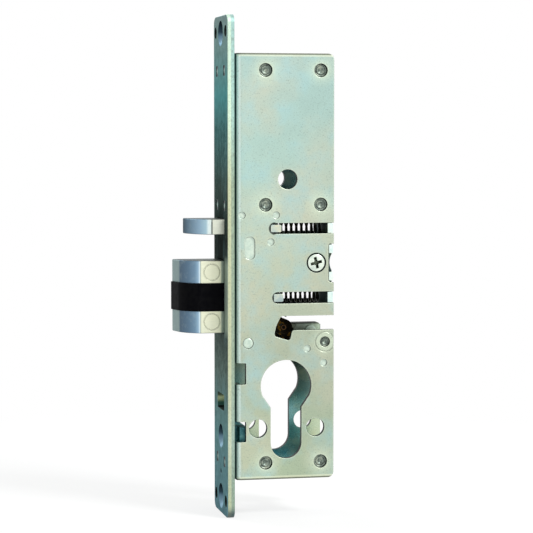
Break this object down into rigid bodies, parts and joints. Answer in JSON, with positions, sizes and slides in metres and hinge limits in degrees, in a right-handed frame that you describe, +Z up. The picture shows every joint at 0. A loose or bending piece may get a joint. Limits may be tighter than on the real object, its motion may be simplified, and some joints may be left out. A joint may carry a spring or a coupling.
{
  "type": "mortise deadlatch",
  "caption": "Narrow-stile mortise deadlatch: flat riveted case, tall end plate, sloped latch bolt, small trigger bolt, and an opening for a profile cylinder.",
  "frame": {"origin": "centre of the end plate's rear face, where it seats on the door edge", "axes": "+X into the door, +Z up, -Y towards the side that the latch's curved face looks to"},
  "size_m": [0.0548, 0.0254, 0.1746],
  "materials": {
    "end_plate_satin": "satin stainless, brushed along its length",
    "zinc_plate": "zinc-plated pressed steel with a faint yellow-green bloom",
    "rivet_steel": "plain staked steel",
    "screw_steel": "zinc-plated screw steel",
    "zinc_casting": "cast and tumbled zinc alloy",
    "satin_bolt": "satin stainless",
    "black_insert": "black low-friction moulding",
    "black_spring": "black oiled spring wire",
    "black_follower": "black oxide sintered steel"
  },
  "bodies": {
    "case": {"end_plate": "end_plate_satin", "near_case_half": "zinc_plate", "far_case_half": "zinc_plate", "top_front_post": "rivet_steel", "top_rear_post": "rivet_steel", "middle_front_post": "rivet_steel", "middle_rear_post": "rivet_steel", "bottom_front_post": "rivet_steel", "bottom_rear_post": "rivet_steel", "lever_pivot_post": "rivet_steel", "latch_guide_pin": "rivet_steel", "rear_stop": "zinc_plate", "centre_boss": "rivet_steel", "case_screw": "screw_steel", "cylinder_screw_block": "zinc_plate", "latch_spring": "black_spring", "trigger_spring": "black_spring", "dog_pivot_pin": "rivet_steel"},
    "latch": {"latch_bolt": "satin_bolt", "latch_insert": "black_insert", "latch_carriage": "zinc_casting", "latch_cross_pin": "rivet_steel"},
    "trigger": {"trigger_bolt": "satin_bolt", "trigger_carriage": "zinc_casting", "trigger_cross_pin": "rivet_steel"},
    "retractor": {"retractor_lever": "zinc_plate", "lever_follower": "black_follower", "follower_pin": "rivet_steel", "lever_stud": "rivet_steel"},
    "dog": {"deadlock_dog": "black_follower"}
  },
  "joints": [
    {"name": "latch_slide", "type": "slide", "parent": "case", "child": "latch", "axis": [1, 0, 0], "range_m": [0, 0.0155], "stiffness_N_per_m": 300, "springref_m": -0.01, "deforming": ["latch_spring"]},
    {"name": "trigger_slide", "type": "slide", "parent": "case", "child": "trigger", "axis": [1, 0, 0], "range_m": [0, 0.0124], "stiffness_N_per_m": 200, "springref_m": -0.01, "deforming": ["trigger_spring"]},
    {"name": "lever_pivot", "type": "hinge", "parent": "case", "child": "retractor", "pos_m": [0.03245, 0, -0.0262], "axis": [0, 1, 0], "range_deg": [0, 24]},
    {"name": "dog_pivot", "type": "hinge", "parent": "case", "child": "dog", "pos_m": [0.0146, 0, 0.0059], "axis": [0, -1, 0], "range_deg": [0, 6]}
  ],
  "couplings": [
    {"joint": "lever_pivot", "follows": "latch_slide", "rad_per_m": 27.02},
    {"joint": "dog_pivot", "follows": "trigger_slide", "rad_per_m": 8.44}
  ]
}
